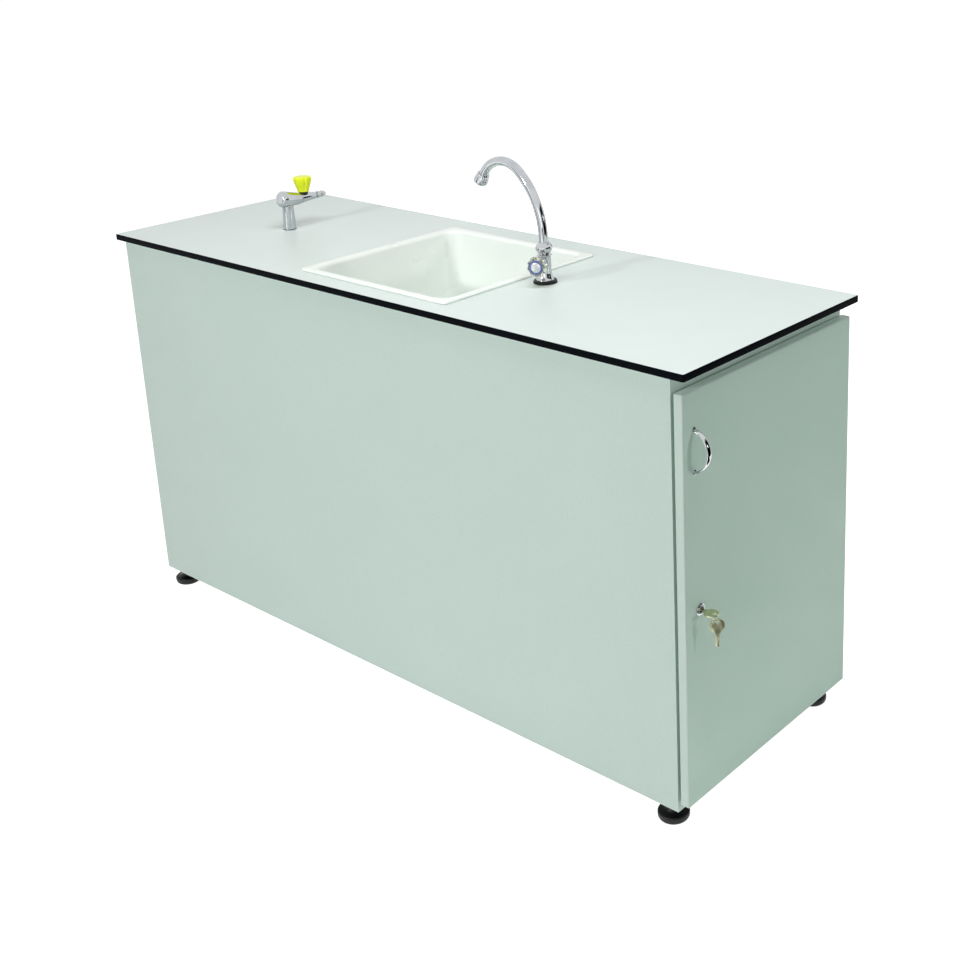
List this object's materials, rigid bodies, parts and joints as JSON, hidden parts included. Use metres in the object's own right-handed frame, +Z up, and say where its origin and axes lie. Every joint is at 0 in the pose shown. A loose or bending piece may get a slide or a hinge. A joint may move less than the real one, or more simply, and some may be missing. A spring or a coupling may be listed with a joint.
{
  "type": "laboratory sink unit",
  "caption": "Long grey laboratory cupboard on levelling feet with a black-cored worktop, drop-in sink, swan-neck tap, gas tap and lockable end door.",
  "frame": {"origin": "on the floor under the middle of the whole unit, measured with its key in the lock", "axes": "+X along the worktop to the door end, +Y to the service side at the back, +Z up"},
  "size_m": [1.7148, 0.555, 1.1461],
  "materials": {
    "laminate_top": "fine matt, black core",
    "faced_board": "grey melamine-faced board",
    "edge_band": "satin",
    "sink_cream": "semi-gloss polypropylene",
    "chrome": "bright plated",
    "satin_chrome": "satin plated",
    "satin_steel": "brushed",
    "zinc_steel": "zinc plated",
    "key_steel": "nickel plated",
    "brass": "turned",
    "copper": "drawn copper tube",
    "soft_rubber": "matt",
    "black_plastic": "moulded",
    "white_plastic": "moulded",
    "clear_acrylic": "clear moulded acrylic",
    "blue_plastic": "gloss",
    "yellow_plastic": "gloss"
  },
  "bodies": {
    "cabinet": {"worktop": "laminate_top", "front_panel": "faced_board", "back_panel": "faced_board", "left_end_panel": "faced_board", "bottom_board": "faced_board", "panel_edge_bands": "edge_band", "top_rails": "faced_board", "top_brackets": "zinc_steel", "cupboard_screws": "zinc_steel", "strike_plate": "zinc_steel", "door_bumpers": "soft_rubber", "foot_sockets": "black_plastic", "hinge_leaves_cupboard": "satin_steel", "hinge_pins": "satin_steel", "sink_bowl": "sink_cream", "sink_seal": "soft_rubber", "waste_strainer": "chrome", "waste_nuts": "white_plastic", "trap_dip_pipe": "white_plastic", "trap_body": "white_plastic", "trap_cup": "white_plastic", "drain_pipe": "white_plastic", "fixing_washers": "soft_rubber", "tap_gaskets": "soft_rubber", "tap_nuts": "brass", "tap_body": "chrome", "tap_bonnet": "chrome", "tap_collar_nut": "chrome", "gas_body": "chrome", "gas_valve": "chrome", "gas_collar": "black_plastic", "gas_nozzle": "chrome", "water_pipe": "copper", "gas_pipe": "copper", "pipe_clips": "white_plastic"},
    "door": {"door_board": "faced_board", "door_lipping": "edge_band", "hinge_leaves_door": "satin_steel", "door_screws": "zinc_steel", "handle_bow": "satin_chrome", "lock_barrel": "chrome", "lock_nut": "zinc_steel"},
    "lock": {"lock_plug": "chrome", "lock_cam": "zinc_steel", "cam_screw": "zinc_steel", "key": "key_steel"},
    "spare_key": {"key_ring": "key_steel", "spare_key": "key_steel"},
    "spout": {"tap_spout": "chrome", "tap_aerator": "chrome"},
    "water_knob": {"tap_knob": "clear_acrylic", "tap_spindle": "brass", "tap_index_ring": "blue_plastic", "tap_index_cap": "chrome"},
    "gas_knob": {"gas_knob": "yellow_plastic", "gas_stem": "brass"},
    "foot_front_left": {"foot_front_left": "black_plastic"},
    "foot_back_left": {"foot_back_left": "black_plastic"},
    "foot_front_right": {"foot_front_right": "black_plastic"},
    "foot_back_right": {"foot_back_right": "black_plastic"}
  },
  "joints": [
    {"name": "door_hinge", "type": "hinge", "parent": "cabinet", "child": "door", "pos_m": [0.78958, 0.2726, 0.4585], "axis": [0, 0, 1], "range_deg": [0, 110]},
    {"name": "lock_turn", "type": "hinge", "parent": "door", "child": "lock", "pos_m": [0.81058, -0.2255, 0.446], "axis": [-1, 0, 0], "range_deg": [0, 90]},
    {"name": "spare_key_swing", "type": "hinge", "parent": "lock", "child": "spare_key", "pos_m": [0.84798, -0.2255, 0.446], "axis": [1, 0, 0], "range_deg": [-30, 30]},
    {"name": "spout_swivel", "type": "hinge", "parent": "cabinet", "child": "spout", "pos_m": [0.26008, -0.0035, 0.972], "axis": [0, 0, 1], "range_deg": [-120, 120]},
    {"name": "water_knob_turn", "type": "hinge", "parent": "cabinet", "child": "water_knob", "pos_m": [0.27064, -0.02616, 0.944], "axis": [0.4226, -0.9063, 0], "range_deg": [0, 540]},
    {"name": "gas_knob_turn", "type": "hinge", "parent": "cabinet", "child": "gas_knob", "pos_m": [-0.55102, 0.0345, 0.9806], "axis": [0, 0, 1], "range_deg": [0, 90]},
    {"name": "foot_front_left_height", "type": "slide", "parent": "cabinet", "child": "foot_front_left", "axis": [0, 0, -1], "range_m": [0, 0.012]},
    {"name": "foot_back_left_height", "type": "slide", "parent": "cabinet", "child": "foot_back_left", "axis": [0, 0, -1], "range_m": [0, 0.012]},
    {"name": "foot_front_right_height", "type": "slide", "parent": "cabinet", "child": "foot_front_right", "axis": [0, 0, -1], "range_m": [0, 0.012]},
    {"name": "foot_back_right_height", "type": "slide", "parent": "cabinet", "child": "foot_back_right", "axis": [0, 0, -1], "range_m": [0, 0.012]}
  ]
}
